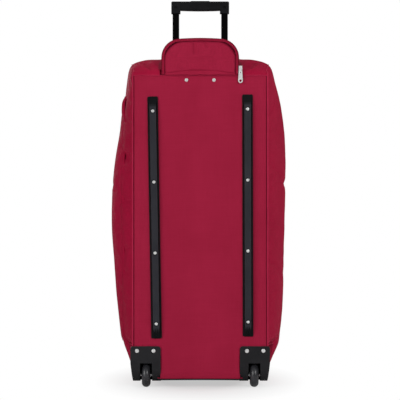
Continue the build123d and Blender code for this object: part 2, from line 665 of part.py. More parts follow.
def zip_pull():
    """Flat tab with a padlock hole at its free end."""
    outline = Polygon((-4.5, -2), (4.5, -2), (6, -26), (-6, -26), align=None) + Pos(0, -26) * Circle(6)
    outline = outline - Pos(0, -26) * Circle(3) - Pos(0, -5.4) * Circle(1.3)
    tab = extrude(Plane.XZ * outline, 0.75, both=True)
    knuckle = rod((-2.6, 0, 0), (2.6, 0, 0), 1.7)
    neck = block((-2.6, 2.6), (-0.75, 0.75), (-3, 0))
    return tab + knuckle + neck - rod((-4, 0, 0), (4, 0, 0), PIN_R + 0.07)


POCKET_ZIP_SHARE, POCKET_ZIP_Y, POCKET_TURN = 0.84, POCKET_FRONT + 6, 27.0
FLAP_ZIP = Pos(102.6, -5.8, 809.0)
MAIN_ZIP = Pos(-119.6, DEPTH + 5.0, 94.0) * Rot(0, 0, 180)
PX, PY, PZ = pocket_side_point(POCKET_ZIP_SHARE, POCKET_ZIP_Y)
POCKET_ZIP = Pos(-PX, PY, PZ) * Rot(0, 0, -90 - POCKET_TURN) * Pos(0, -9.1, 0)


# ---------------------------------------------------------------- front: frame, lid, main zipper
def front_frame():
    """Four fabric strips round the main opening."""
    y = (DEPTH, DEPTH + FABRIC)
    x, z = (FRAME_X, FRONT_HALF - SEAM), FRAME_Z
    wide = (-x[1], x[1])
    low = cut(block(wide, y, (LOW + 4, z[0])), pair(block((114.5, FRAME_X), y, (86, 120))))
    return [low, block(wide, y, (z[1], HIGH - 6))] + pair(block(x, y, z))


def lid_point(a, z):
    share = (z - LID_Z[0]) / (LID_Z[1] - LID_Z[0])
    crown = LID_CROWN * (1 - a ** 4) * (1 - (2 * share - 1) ** 4)
    return (a * LID_X, DEPTH + FABRIC + crown, z)


def lid_panel():
    return sheet(lid_point, ACROSS, steps(11, *LID_Z), FABRIC, (0, -1, 0))


def u_band(inner, outer, low, y):
    """A flat band down both sides of the lid and across its top."""
    top_in = LID_Z[1] + inner - LID_X
    top_out = LID_Z[1] + outer - LID_X
    band = block((-outer, outer), y, (low, top_out))
    return band - block((-inner, inner), (y[0] - 1, y[1] + 1), (low - 1, top_in))


CHAIN_X = 121.0


def frame_zipper():
    tape = u_band(CHAIN_X + CHAIN_GAP / 2, FRAME_X + 4, 88, (DEPTH - 1.5, DEPTH - 0.3))
    return tape + u_band(CHAIN_X + CHAIN_GAP / 2, CHAIN_X + 2.4, 88, (DEPTH - 1.5, DEPTH + 0.8))


def lid_zipper():
    tape = u_band(LID_X - 4, CHAIN_X - CHAIN_GAP / 2, LID_Z[0], (DEPTH - 1.5, DEPTH - 0.3))
    return tape + u_band(CHAIN_X - 2.4, CHAIN_X - CHAIN_GAP / 2, LID_Z[0], (DEPTH - 1.5, DEPTH + 0.8))


# ---------------------------------------------------------------- webbing handles
CARRY_X, CARRY_Y = 157.5, DEPTH + 7.9   # outer edge where a loop leaves its sewn ends
CARRY_Z, CARRY_BACK = (321.0, 551.0), 262.0
WEBBING, WEBBING_T, CARRY_LIFT = 28.0, 3.0, 10.0


def carry_handle():
    """Webbing loop that turns the front corner and lies along the side."""
    side = [(half_width(0.5, y) + CARRY_LIFT, y) for y in (328, 297, CARRY_BACK - 3)]
    path = Spline((CARRY_X, CARRY_Y), (CARRY_X + 10.5, CARRY_Y - 4.2), *side)
    ribbon = sheet(lambda z, t: ((path @ t).X, (path @ t).Y, z), steps(3, *CARRY_Z), steps(11),
                   WEBBING_T, (-1, 0, 0))
    outline = Pos((CARRY_BACK + CARRY_Y) / 2 + 5, sum(CARRY_Z) / 2) * Rectangle(
        CARRY_Y - CARRY_BACK + 10, CARRY_Z[1] - CARRY_Z[0])
    outline = fillet(outline.vertices().group_by(Axis.X)[0], 50)
    hole = Pos((CARRY_BACK + CARRY_Y) / 2 + WEBBING / 2 + 10, sum(CARRY_Z) / 2) * Rectangle(
        CARRY_Y - CARRY_BACK - WEBBING + 20, CARRY_Z[1] - CARRY_Z[0] - 2 * WEBBING)
    hole = fillet(hole.vertices().group_by(Axis.X)[0], 50 - WEBBING / 2)
    return ribbon & extrude(Plane.YZ * (outline - hole), 300)


def carry_anchors():
    """Sewn ends of the loops on the front frame."""
    y = (DEPTH + FABRIC + 0.1, DEPTH + FABRIC + 0.1 + WEBBING_T)
    low, high = CARRY_Z
    ends = [block((128, CARRY_X - 1.8), y, z) for z in ((low, low + WEBBING), (high - WEBBING, high))]
    return ends + [mirrored(end) for end in ends]


# ---------------------------------------------------------------- write every sub-part
BACK_SHELL, FRONT_SHELL = grip_shells()

PARTS = {
    "back_panel": [back_panel()],
    "base_board": [base_board()],
    "right_side_panel": [side_panel(side_point)],
    "left_side_panel": [mirrored(side_panel(pocket_side_point))],
    "corner_gussets": [corner_gusset(side_point), mirrored(corner_gusset(pocket_side_point))],
    "top_end_panel": [top_end_panel()],
    "bottom_end_panel": [bottom_end_panel()],
    "front_frame": front_frame(),
    "edge_piping": piping(),
    "side_pocket": [side_pocket()],
    "pocket_zipper": [pocket_zipper()],
    "main_zipper_frame_side": [frame_zipper()],
    "zip_sliders": [place * zip_slider() for place in (MAIN_ZIP, POCKET_ZIP)],
    "bottom_board": [bottom_board()],
    "tube_cover_lining": [tube_cover()],
    "well_lining": [well_lining()],
    "flap_zipper_bag_side": [flap_tape_on_bag()],
    "skid_rails": [skid_rail(*place) for place in RAILS],
    "rail_rivets": [rivet(spot, 4.2, -RAIL_H + RIVET_SINK, 8.4) for spot in rail_spots()],
    "right_wheel_housing": [wheel_housing()],
    "left_wheel_housing": [mirrored(wheel_housing())],
    "housing_rivets": [rivet(spot, 5.0, HOUSING_Y[0], 8.4) for spot in housing_spots()],
    "rivet_washers": rivet_washers(),
    "axles": pair(axle()),
    "axle_washers": [w for washer in axle_washers() for w in pair(washer)],
    "front_feet": pair(front_foot()),
    "foot_screws": pair(foot_screw()),
    "outer_tubes": pair(outer_tube()),
    "tube_foot_bracket": [tube_foot_bracket()],
    "handle_tray": [handle_tray()],
    "tray_rivets": [rivet(spot, 4.4, -0.1, 9.3) for spot in TRAY_RIVETS],
    "tube_collars": pair(tube_collar()),
    "carry_handle_anchors": carry_anchors(),
    "lid_panel": [lid_panel()],
    "main_zipper_lid_side": [lid_zipper()],
    "handle_flap": [handle_flap()],
    "flap_binding": [flap_binding()],
    "flap_zipper_flap_side": [flap_tape()],
    "inner_tubes": pair(inner_tube()),
    "grip_back_shell": [BACK_SHELL],
    "grip_front_shell": [FRONT_SHELL],
    "grip_screws": grip_screws(),
    "tube_end_plugs": pair(end_plug()),
    "release_button": [release_button()],
    "push_rods": pair(push_rod()),
    "right_lock_pin": [lock_pin()],
    "left_lock_pin": [mirrored(lock_pin())],
    "right_tyre": [tyre()],
    "right_hub": [hub()],
    "right_bearings": bearings(),
    "left_tyre": [mirrored(tyre())],
    "left_hub": [mirrored(hub())],
    "left_bearings": [mirrored(b) for b in bearings()],
    "flap_zip_slider": [FLAP_ZIP * zip_slider()],
    "flap_zip_pull": [FLAP_ZIP * zip_pull()],
    "main_zip_pull": [MAIN_ZIP * zip_pull()],
    "pocket_zip_pull": [POCKET_ZIP * zip_pull()],
    "right_carry_handle": [carry_handle()],
    "left_carry_handle": [mirrored(carry_handle())],
}

for node, shapes in PARTS.items():
    save(node, shapes)
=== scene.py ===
import json
from math import atan, cos, pi, radians, sin, sqrt

import bmesh
import bpy
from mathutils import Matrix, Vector, noise


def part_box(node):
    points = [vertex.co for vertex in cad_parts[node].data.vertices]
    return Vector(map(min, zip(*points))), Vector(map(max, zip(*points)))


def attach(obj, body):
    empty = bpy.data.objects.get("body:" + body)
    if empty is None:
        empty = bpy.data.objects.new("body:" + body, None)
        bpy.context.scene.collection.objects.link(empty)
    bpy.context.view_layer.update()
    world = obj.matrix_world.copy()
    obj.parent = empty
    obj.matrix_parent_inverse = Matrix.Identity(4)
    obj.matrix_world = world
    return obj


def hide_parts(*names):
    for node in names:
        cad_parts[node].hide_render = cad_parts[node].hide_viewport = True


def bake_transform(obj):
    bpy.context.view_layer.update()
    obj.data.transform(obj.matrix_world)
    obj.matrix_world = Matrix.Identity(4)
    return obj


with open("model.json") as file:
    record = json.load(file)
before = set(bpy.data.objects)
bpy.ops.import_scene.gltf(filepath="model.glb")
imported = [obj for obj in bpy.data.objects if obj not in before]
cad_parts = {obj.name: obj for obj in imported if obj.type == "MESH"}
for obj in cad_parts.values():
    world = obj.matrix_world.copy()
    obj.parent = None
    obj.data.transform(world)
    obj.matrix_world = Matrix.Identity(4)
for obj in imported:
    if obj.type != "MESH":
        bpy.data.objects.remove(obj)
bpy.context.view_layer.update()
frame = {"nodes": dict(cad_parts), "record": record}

# Metres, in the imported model's frame: +Z up, -Y out of the back panel, the floor at Z = 0.
MM = 0.001
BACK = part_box("back_panel")[0][1]                # Y of the back panel's outer face
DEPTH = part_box("front_frame")[0][1] - BACK       # back face to front seam
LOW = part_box("back_panel")[0][2]
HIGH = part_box("back_panel")[1][2] + 1 * MM
BACK_HALF, FRONT_HALF = 172 * MM, 159.5 * MM     # half widths at the back and front seams
SEAM_BULGE, SIDE_BULGE = 18 * MM, 43 * MM        # at the end seams, and how much more at mid height
RIGHT_POWER, LEFT_POWER, BOTTOM_TUCK = 3.0, 2.2, 0.1
TOP_RISE, TOP_CROWN, BOTTOM_SAG = 43 * MM, 9 * MM, 7 * MM
POCKET_LIFT, POCKET_INSET, POCKET_FRONT = 5 * MM, 25.5 * MM, 300 * MM
MOUTH = (99 * MM, 83 * MM, 48 * MM)              # half width, depth and corner radius of the top mouth
PIPE_R = 2.0 * MM
HOUSING_LOW, HOUSING_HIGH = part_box("right_wheel_housing")
SIM_FRAMES = 16                                  # frames of each cloth simulation


# ---------------------------------------------------------------- small maths
def steps(count, low=0.0, high=1.0):
    return [low + (high - low) * i / (count - 1) for i in range(count)]


def smooth(value, low, high):
    t = min(1.0, max(0.0, (value - low) / (high - low)))
    return t * t * (3 - 2 * t)


def ripple(x, y, z, scale, seed=0.0):
    """Smooth noise between about -1 and 1; scale is the size of one lump."""
    return noise.noise(Vector((x / scale + seed, y / scale - seed, z / scale + 3 * seed)))


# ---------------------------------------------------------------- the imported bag's outer form
# y is measured from the back panel's face, s runs from 0 at the floor end to 1 at the top.
def hump(y):
    t = y / DEPTH
    return 4 * t * (1 - t)


def half_width(s, y, bulge=SIDE_BULGE, power=RIGHT_POWER):
    stands_out = SEAM_BULGE * min(1, s / BOTTOM_TUCK) + bulge * (1 - abs(2 * s - 1) ** power)
    return BACK_HALF + (FRONT_HALF - BACK_HALF) * y / DEPTH + stands_out * hump(y)


def top_edge(y):
    return HIGH + TOP_RISE * sqrt(max(0.0, hump(y)))


def tuck(y, z):
    """0 where the cloth lies inside a wheel housing, 1 where it is free."""
    clear_y = smooth(y, HOUSING_HIGH[1] - BACK - 8 * MM, HOUSING_HIGH[1] - BACK + 26 * MM)
    return max(clear_y, smooth(z, HOUSING_HIGH[2] - 6 * MM, HOUSING_HIGH[2] + 20 * MM))


def side_at(s, y, bulge=SIDE_BULGE, power=RIGHT_POWER, lift=0.0):
    """A point of the right side."""
    z = LOW + s * (top_edge(y) - LOW)
    x = half_width(s, y, bulge, power) + lift
    inner = HOUSING_HIGH[0] - 4 * MM
    return Vector((inner + (x - inner) * tuck(y, z), BACK + y, z))


def swell(z, low, high):
    """One smooth rise and fall between two heights."""
    return sin(pi * min(1, max(0, (z - low) / (high - low))))


def slump(y, z):
    """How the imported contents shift: fuller on the left at mid height, slacker near the top
    and low on the right."""
    left = 5 * MM * swell(z, 0.33, 0.66) * hump(y) - 8.5 * MM * swell(z, 0.51, 0.87) * hump(y) ** 2
    right = -7.5 * MM * swell(z, 0.10, 0.58) * hump(y) - 4 * MM * swell(z, 0.75, 0.85) * hump(y) ** 2
    return left, right


def top_at(a, y):
    """A point of the top end; a runs from -1 to 1 across."""
    x = a * (half_width(1, y) - 5 * MM * smooth(y, 0, 16 * MM))
    crown = TOP_CROWN * (1 - a ** 4) * sqrt(max(0.0, hump(y)))
    return Vector((x, BACK + y, top_edge(y) + crown - 4 * MM * a ** 10 * smooth(y, 0, 10 * MM)))


def depths(number):
    """Depths that crowd towards the seams, where the form turns fastest."""
    return [DEPTH / 2 * (1 - cos(angle)) for angle in steps(number, 0, pi)]


def bottom_at(a, y):
    return Vector((a * half_width(0, y), BACK + y, LOW - BOTTOM_SAG * (1 - a ** 4) * hump(y)))


# ---------------------------------------------------------------- mesh helpers
def new_object(name, mesh):
    obj = bpy.data.objects.new(name, mesh)
    bpy.context.scene.collection.objects.link(obj)
    return obj


def grid(name, point, rows, columns):
    """A quad mesh through point(row, column)."""
    mesh = bpy.data.meshes.new(name)
    width = len(columns)
    points = [point(r, c) for r in rows for c in columns]
    faces = [(i * width + j, i * width + j + 1, (i + 1) * width + j + 1, (i + 1) * width + j)
             for i in range(len(rows) - 1) for j in range(width - 1)]
    mesh.from_pydata(points, [], faces)
    return new_object(name, mesh)


def drop_faces(obj, inside):
    """Deletes the faces whose centre is inside."""
    bm = bmesh.new()
    bm.from_mesh(obj.data)
    doomed = [f for f in bm.faces if inside(f.calc_center_median())]
    bmesh.ops.delete(bm, geom=doomed, context="FACES")
    bm.to_mesh(obj.data)
    bm.free()


def face_outwards(obj, outward):
    """Turns the faces so that the first one looks along outward."""
    obj.data.update()
    if obj.data.polygons and sum((p.normal.dot(outward) for p in obj.data.polygons), 0.0) < 0:
        obj.data.flip_normals()


def smooth_shading(obj):
    for polygon in obj.data.polygons:
        polygon.use_smooth = True


def thicken(obj, thickness, levels=0):
    """Gives a sheet its thickness, growing inwards from the modelled face."""
    if levels:
        sub = obj.modifiers.new("round", "SUBSURF")
        sub.levels = sub.render_levels = levels
    solid = obj.modifiers.new("thickness", "SOLIDIFY")
    solid.thickness = thickness
    solid.offset = -1
    smooth_shading(obj)


def border(obj):
    """Indices of the open edges' vertices."""
    bm = bmesh.new()
    bm.from_mesh(obj.data)
    found = [v.index for v in bm.verts if v.is_boundary]
    bm.free()
    return found


def inflate(obj, pressure, slack, cap, pinned=None):
    """Cloth simulation of a sewn panel: edges held, a little extra cloth, pressure from inside."""
    start = [v.co.copy() for v in obj.data.vertices]
    held = obj.vertex_groups.new(name="held")
    held.add(pinned if pinned is not None else border(obj), 1.0, "REPLACE")
    cloth = obj.modifiers.new("cloth", "CLOTH")
    cloth.settings.quality = 5
    cloth.settings.mass = 0.3
    cloth.settings.tension_stiffness = 14.0
    cloth.settings.compression_stiffness = 14.0
    cloth.settings.shear_stiffness = 4.0
    cloth.settings.bending_stiffness = 0.6
    cloth.settings.air_damping = 2.0
    cloth.settings.vertex_group_mass = held.name
    cloth.settings.use_pressure = True
    cloth.settings.uniform_pressure_force = pressure
    cloth.settings.shrink_min = -slack
    cloth.settings.effector_weights.gravity = 0
    cloth.collision_settings.use_collision = False
    cloth.point_cache.frame_start, cloth.point_cache.frame_end = 1, SIM_FRAMES
    scene = bpy.context.scene
    for number in range(1, SIM_FRAMES + 1):
        scene.frame_set(number)
    result = obj.evaluated_get(bpy.context.evaluated_depsgraph_get()).to_mesh()
    moved = [v.co.copy() for v in result.vertices]
    obj.modifiers.remove(cloth)
    scene.frame_set(1)
    for vertex, before, after in zip(obj.data.vertices, start, moved):
        shift = after - before
        if shift.length > cap:
            shift = shift * (cap / shift.length)
        vertex.co = before + shift
    obj.vertex_groups.remove(held)


def cord(name, points, radius):
    """A round cord through points."""
    data = bpy.data.curves.new(name, "CURVE")
    data.dimensions = "3D"
    data.bevel_depth = radius
    data.bevel_resolution = 4
    data.use_fill_caps = True
    spline = data.splines.new("POLY")
    spline.points.add(len(points) - 1)
    for slot, point in zip(spline.points, points):
        slot.co = (*point, 1)
    spline.use_smooth = True
    return new_object(name, data)


def along(points, pitch):
    """Evenly spaced (place, direction) pairs along a line of points."""
    placed, carry = [], pitch / 2
    for start, end in zip(points, points[1:]):
        length = (end - start).length
        while carry < length:
            placed.append((start.lerp(end, carry / length), (end - start).normalized()))
            carry += pitch
        carry -= length
    return placed


def bars(name, places, length, radius):
    """One mesh of short round bars; places are (centre, direction, outward)."""
    bm = bmesh.new()
    for centre, direction, out in places:
        side = direction.cross(out).normalized()
        rings = []
        for share, size in ((-0.5, 0.35), (-0.3, 1.0), (0.3, 1.0), (0.5, 0.35)):
            middle = centre + direction * (share * length)
            rings.append([bm.verts.new(middle + (side * cos(t) * 1.1 + out * sin(t)) * radius * size)
                          for t in steps(7, 0, 2 * pi)[:-1]])
        for one, two in zip(rings, rings[1:]):
            for i in range(6):
                bm.faces.new((one[i], one[(i + 1) % 6], two[(i + 1) % 6], two[i]))
        bm.faces.new(rings[0][::-1])
        bm.faces.new(rings[-1])
    bmesh.ops.recalc_face_normals(bm, faces=bm.faces)
    mesh = bpy.data.meshes.new(name)
    bm.to_mesh(mesh)
    bm.free()
    obj = new_object(name, mesh)
    smooth_shading(obj)
    return obj


def stitches(name, lines, normal):
    """Rows of thread along each line; normal(point) points out of the cloth."""
    places = [(place, direction, normal(place))
              for line in lines for place, direction in along(line, 4.6 * MM)]
    return bars(name, places, 3.2 * MM, 0.42 * MM)


def teeth(name, line, out, shift):
    """Zipper coil along a line, its teeth set to one side by shift."""
    places = []
    for place, direction in along(line, 2.4 * MM):
        across = direction.cross(out).normalized()
        places.append((place + across * shift, across, out))
    return bars(name, places, 2.6 * MM, 0.75 * MM)


# ---------------------------------------------------------------- materials
def srgb(red, green, blue):
    """0-255 display values to linear."""
    def linear(value):
        value = value / 255
        return value / 12.92 if value < 0.04045 else ((value + 0.055) / 1.055) ** 2.4
    return (linear(red), linear(green), linear(blue), 1.0)


class Nodes:
    """Short way to build a material's node tree."""

    def __init__(self, name):
        self.material = bpy.data.materials.new(name)
        self.material.use_nodes = True
        self.tree = self.material.node_tree
        self.shader = self.tree.nodes["Principled BSDF"]
        self.place = self.add("ShaderNodeTexCoord").outputs["Object"]
        self.shader.inputs["Specular IOR Level"].default_value = 0.1

    def add(self, kind, **settings):
        node = self.tree.nodes.new(kind)
        for key, value in settings.items():
            setattr(node, key, value)
        return node

    def link(self, source, target):
        self.tree.links.new(source, target)

    def math(self, operation, first, second=0.0):
        node = self.add("ShaderNodeMath", operation=operation)
        for socket, value in zip(node.inputs, (first, second)):
            if isinstance(value, (int, float)):
                socket.default_value = value
            else:
                self.link(value, socket)
        return node.outputs[0]

    def noise(self, scale, detail=3.0, rough=0.55):
        node = self.add("ShaderNodeTexNoise")
        node.inputs["Scale"].default_value = scale
        node.inputs["Detail"].default_value = detail
        node.inputs["Roughness"].default_value = rough
        self.link(self.place, node.inputs["Vector"])
        return node.outputs["Fac"]

    def streaks(self, scale, stretch):
        """Noise drawn out into threads."""
        drawn = self.add("ShaderNodeVectorMath", operation="MULTIPLY")
        drawn.inputs[1].default_value = stretch
        self.link(self.place, drawn.inputs[0])
        node = self.add("ShaderNodeTexNoise")
        node.inputs["Scale"].default_value = scale
        self.link(drawn.outputs[0], node.inputs["Vector"])
        return node.outputs["Fac"]

    def wave(self, scale, direction):
        node = self.add("ShaderNodeTexWave", bands_direction=direction)
        node.inputs["Scale"].default_value = scale
        node.inputs["Distortion"].default_value = 0.6
        node.inputs["Detail Scale"].default_value = 2.0
        self.link(self.place, node.inputs["Vector"])
        return node.outputs["Fac"]

    def ramp(self, value, low, high, first, second):
        """Maps low..high onto two colours or numbers."""
        node = self.add("ShaderNodeMapRange")
        node.inputs["From Min"].default_value = low
        node.inputs["From Max"].default_value = high
        self.link(value, node.inputs["Value"])
        if isinstance(first, (int, float)):
            node.inputs["To Min"].default_value = first
            node.inputs["To Max"].default_value = second
            return node.outputs["Result"]
        return self.mix(node.outputs["Result"], first, second)

    def mix(self, factor, first, second):
        node = self.add("ShaderNodeMix", data_type="RGBA")
        for socket, value in ((node.inputs[0], factor), (node.inputs[6], first), (node.inputs[7], second)):
            if isinstance(value, (int, float, tuple)):
                socket.default_value = value
            else:
                self.link(value, socket)
        return node.outputs[2]

    def bump(self, height, distance, strength=1.0, under=None):
        node = self.add("ShaderNodeBump")
        node.inputs["Distance"].default_value = distance
        node.inputs["Strength"].default_value = strength
        self.link(height, node.inputs["Height"])
        if under is not None:
            self.link(under, node.inputs["Normal"])
        return node.outputs["Normal"]

    def edges(self, radius):
        """1 on sharp edges, 0 on flats."""
        soft = self.add("ShaderNodeBevel", samples=4)
        soft.inputs["Radius"].default_value = radius
        flat = self.add("ShaderNodeNewGeometry").outputs["Normal"]
        dot = self.add("ShaderNodeVectorMath", operation="DOT_PRODUCT")
        self.link(soft.outputs[0], dot.inputs[0])
        self.link(flat, dot.inputs[1])
        return self.ramp(dot.outputs["Value"], 1.0, 0.9, 0.0, 1.0), soft.outputs[0]

    def set(self, **values):
        for key, value in values.items():
            socket = self.shader.inputs[key.replace("_", " ")]
            if isinstance(value, (int, float, tuple)):
                socket.default_value = value
            else:
                self.link(value, socket)
        return self.material


def woven(name, light, dark, thread=0.9 * MM, sheen=0.035, rough=0.66, crumple=0.6 * MM, gloss=0.06):
    """Coated woven cloth: crossing threads, heathered colour and fine creases."""
    m = Nodes(name)
    scale = 2 * pi / thread / 20
    threads = m.math("ADD", m.math("ADD", m.wave(scale, "X"), m.wave(scale, "Y")), m.wave(scale, "Z"))
    heather = m.noise(900, 2)
    patches = m.noise(7, 4)
    slubs = m.math("ADD", m.streaks(420, (1, 1, 0.05)), m.streaks(420, (0.05, 0.05, 1)))
    tone = m.math("ADD", m.math("MULTIPLY", heather, 0.15), m.math("MULTIPLY", patches, 0.25))
    tone = m.math("ADD", tone, m.math("MULTIPLY", m.streaks(20, (1, 1, 0.2)), 0.2))
    tone = m.math("ADD", tone, m.math("MULTIPLY", slubs, 0.2))
    colour = m.mix(m.ramp(threads, 0.6, 2.4, 0.0, 0.22), m.ramp(tone, 0.3, 0.7, dark, light), dark)
    normal = m.bump(m.noise(26, 5, 0.6), crumple, 0.55)
    normal = m.bump(threads, 0.12 * MM, 0.5, normal)
    return m.set(Base_Color=colour, Roughness=m.ramp(heather, 0.3, 0.7, rough - 0.06, rough + 0.08),
                 Specular_IOR_Level=gloss, Sheen_Weight=sheen, Sheen_Roughness=0.3, Sheen_Tint=light,
                 Normal=normal)


def moulded(name, light, dark, rough=0.45, grain=0.05 * MM, edge=1.2 * MM, scuff_and_highlight=None, painted_side_shade=None, gloss=0.1):
    """Moulded plastic: fine spark-eroded grain, softened edges, lighter patchy edges that are part scuffing
    and part painted highlight, and painted shade on sides and set-back parts when a shade colour is given.
    """
    m = Nodes(name)
    speck = m.noise(1600, 2)
    mask, soft = m.edges(edge)
    tone = m.ramp(m.noise(18, 4), 0.3, 0.7, dark, light)
    patchy = m.ramp(m.noise(60, 4), 0.4, 0.65, 0.0, 0.5)
    # Lighter patchy edges: part scuffing, part a painted edge highlight.
    scuffs_highlight_shade = m.mix(m.math("MULTIPLY", mask, patchy), tone, scuff_and_highlight or light)
    normal = m.bump(speck, grain, 0.6, soft)
    # Painted shade: faces not turned squarely to -Y, and parts set back from the rail's ridge, take the
    # darker shade colour.
    if painted_side_shade:
        axes = m.add("ShaderNodeSeparateXYZ")
        m.link(m.add("ShaderNodeNewGeometry").outputs["Normal"], axes.inputs[0])
        spot = m.add("ShaderNodeSeparateXYZ")
        m.link(m.place, spot.inputs[0])
        sunk = m.ramp(spot.outputs["Y"], BACK - 10.6 * MM, BACK - 8.5 * MM, 0.0, 1.0)
        turned = m.ramp(axes.outputs["Y"], -0.995, -0.9, 0.0, 1.0)
        scuffs_highlight_shade = m.mix(m.math("MAXIMUM", turned, sunk), scuffs_highlight_shade, painted_side_shade)
    return m.set(Base_Color=scuffs_highlight_shade, Roughness=m.ramp(m.noise(70, 3), 0.3, 0.7, rough - 0.06, rough + 0.1),
                 Specular_IOR_Level=gloss, Normal=normal)


def metal(name, light, dark, rough=0.22, edge=0.5 * MM, shine=1.0):
    """Plated or drawn metal with fine scratches."""
    m = Nodes(name)
    scratches = m.noise(420, 6, 0.7)
    _, soft = m.edges(edge)
    return m.set(Base_Color=m.ramp(m.noise(90, 4), 0.3, 0.7, dark, light), Metallic=shine,
                 Roughness=m.ramp(scratches, 0.35, 0.65, rough - 0.06, rough + 0.12),
                 Normal=m.bump(scratches, 0.03 * MM, 0.4, soft))


def rubber(name, light, dark):
    """Wheel tread: satin rubber with dusty, worn patches."""
    m = Nodes(name)
    dust = m.noise(55, 6, 0.65)
    return m.set(Base_Color=m.ramp(dust, 0.35, 0.7, dark, light), Roughness=m.ramp(dust, 0.3, 0.7, 0.22, 0.4),
                 Specular_IOR_Level=0.5, Normal=m.bump(m.noise(700, 3), 0.06 * MM, 0.5))


# One cloth in two copies: the back panel's copy is the lit one; the more saturated copy below, used on the
# sides, top and pocket, is painted shade.
PANEL = woven("panel_cloth", srgb(158, 30, 61), srgb(138, 20, 48))
SIDE_SHADE_CLOTH = woven("side_shade_cloth", srgb(162, 22, 57), srgb(138, 12, 44), sheen=0.02, gloss=0.035)
TRIM = woven("trim_cloth", srgb(156, 24, 56), srgb(118, 12, 38), thread=1.2 * MM, sheen=0.2)
# Painted highlight: the piping cloth is lighter than the panel cloth, standing in for light along the rounded
# cord.
PIPING_HIGHLIGHT_CLOTH = woven("piping_highlight_cloth", srgb(180, 40, 74), srgb(146, 24, 54), thread=1.2 * MM, sheen=0.3)
TAPE = woven("zip_tape_cloth", srgb(140, 24, 50), srgb(100, 12, 32), thread=0.7 * MM, crumple=0.2 * MM)
WEB = woven("webbing_cloth", srgb(146, 28, 54), srgb(100, 12, 32), thread=2.2 * MM, crumple=0.2 * MM)
LINING = woven("lining_cloth", srgb(46, 44, 48), srgb(26, 25, 28), thread=0.6 * MM, sheen=0.05)
THREAD = woven("thread", srgb(166, 42, 68), srgb(116, 18, 40), thread=0.4 * MM, crumple=0.1 * MM)
# Painted shadow: dark cords laid along the back seams beside the piping and along the flap's rim, where those
# gaps fall into shade.
SEAM_SHADOW_CLOTH = woven("seam_cloth", srgb(104, 10, 34), srgb(80, 6, 25), thread=0.5 * MM, crumple=0.1 * MM)
# Rails: lighter edges are part scuffing, part painted highlight; sides and set-back parts carry painted
# shade.
GUARD = moulded("rail_plastic", srgb(45, 45, 50), srgb(37, 37, 42), scuff_and_highlight=srgb(80, 80, 86),
                painted_side_shade=srgb(15, 15, 17))
CASE = moulded("housing_plastic", srgb(36, 36, 38), srgb(27, 27, 29), scuff_and_highlight=srgb(74, 74, 78))
GRIP = moulded("grip_plastic", srgb(21, 21, 23), srgb(13, 13, 15), rough=0.42, gloss=0.06)
BOARD = moulded("board_plastic", srgb(30, 30, 32), srgb(20, 20, 22))
PLATED = metal("plated_metal", (0.86, 0.86, 0.85, 1), (0.62, 0.62, 0.62, 1), rough=0.3, shine=0.6)
STEEL = metal("axle_steel", (0.6, 0.6, 0.6, 1), (0.42, 0.42, 0.43, 1), rough=0.3)
ANODISED = moulded("anodised_tube", srgb(6, 6, 6), srgb(3, 3, 3), rough=0.5, grain=0.01 * MM, gloss=0.015)
BLACKENED = moulded("blackened_steel", srgb(22, 22, 23), srgb(12, 12, 13), rough=0.35, grain=0.01 * MM)
TYRE = rubber("tyre_rubber", srgb(46, 46, 50), srgb(30, 30, 33))

MATERIAL_OF_SLOT = {
    "panel_fabric": PANEL, "trim_fabric": TRIM, "zip_tape": TAPE, "lining_fabric": LINING, "webbing": WEB,
    "zip_metal": PLATED, "board_plastic": BOARD, "rail_plastic": GUARD, "housing_plastic": CASE,
    "grip_plastic": GRIP, "rivet_steel": PLATED, "axle_steel": STEEL, "tube_aluminium": ANODISED,
    "wheel_rubber": TYRE, "hub_plastic": BOARD,
}


BLACK_STEEL_NODES = ("grip_screws", "foot_screws")
SOFT_EDGES = {"flap_binding": 1.4 * MM, "right_carry_handle": 1.1 * MM, "left_carry_handle": 1.1 * MM,
              "carry_handle_anchors": 0.9 * MM, "right_tyre": 0.4 * MM, "left_tyre": 0.4 * MM}


def dress_cad_nodes():
    """Every CAD node takes the material of its record slot."""
    slots = {part["node"]: part["material_slot"] for part in frame["record"]["subparts"]}
    for node, obj in frame["nodes"].items():
        material = BLACKENED if node in BLACK_STEEL_NODES else MATERIAL_OF_SLOT[slots[node]]
        obj.data.materials.clear()
        obj.data.materials.append(material)
    for node, radius in SOFT_EDGES.items():
        bevel = frame["nodes"][node].modifiers.new("soft_edge", "BEVEL")
        bevel.width, bevel.segments, bevel.angle_limit = radius, 3, radians(40)
        bevel.limit_method = "ANGLE"


def piece(obj, material, body, slot, *nodes):
    """Finishes a new piece: material, body, and the CAD nodes it stands for; the record slot argument is not
    used.
    """
    obj.data.materials.clear()
    obj.data.materials.append(material)
    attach(obj, body)
    if nodes:
        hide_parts(*nodes)
    return obj


# ---------------------------------------------------------------- fabric panels
CELL = 7 * MM


def count(length):
    return max(4, round(length / CELL) + 1)


def build_back():
    """Board-backed panel: nearly flat, drawn in at its seams."""
    def point(z, x):
        edge = min(BACK_HALF - abs(x), z - LOW, HIGH - z)
        puff = 1.6 * MM * smooth(edge, 0, 16 * MM)
        wave = 0.5 + 0.3 * ripple(x, 0, z, 0.09, 2.0) + 0.4 * ripple(x, 0, z * 0.25, 0.045, 7.0)
        wave *= 1.5 * MM * smooth(edge, 4 * MM, 30 * MM)
        return Vector((x, BACK + 1.6 * MM - puff + max(0.0, wave), z))
    rows = steps(count(HIGH - LOW), LOW - 2.5 * MM, HIGH)
    columns = steps(count(2 * BACK_HALF), -BACK_HALF, BACK_HALF)
    panel = grid("back_cloth", point, rows, columns)
    drop_faces(panel, lambda c: abs(c.x) > HOUSING_LOW[0] and c.z < HOUSING_HIGH[2] - 22 * MM)
    face_outwards(panel, Vector((0, -1, 0)))
    thicken(panel, 1.5 * MM, 1)
    piece(panel, PANEL, "bag", "panel_fabric", "back_panel")


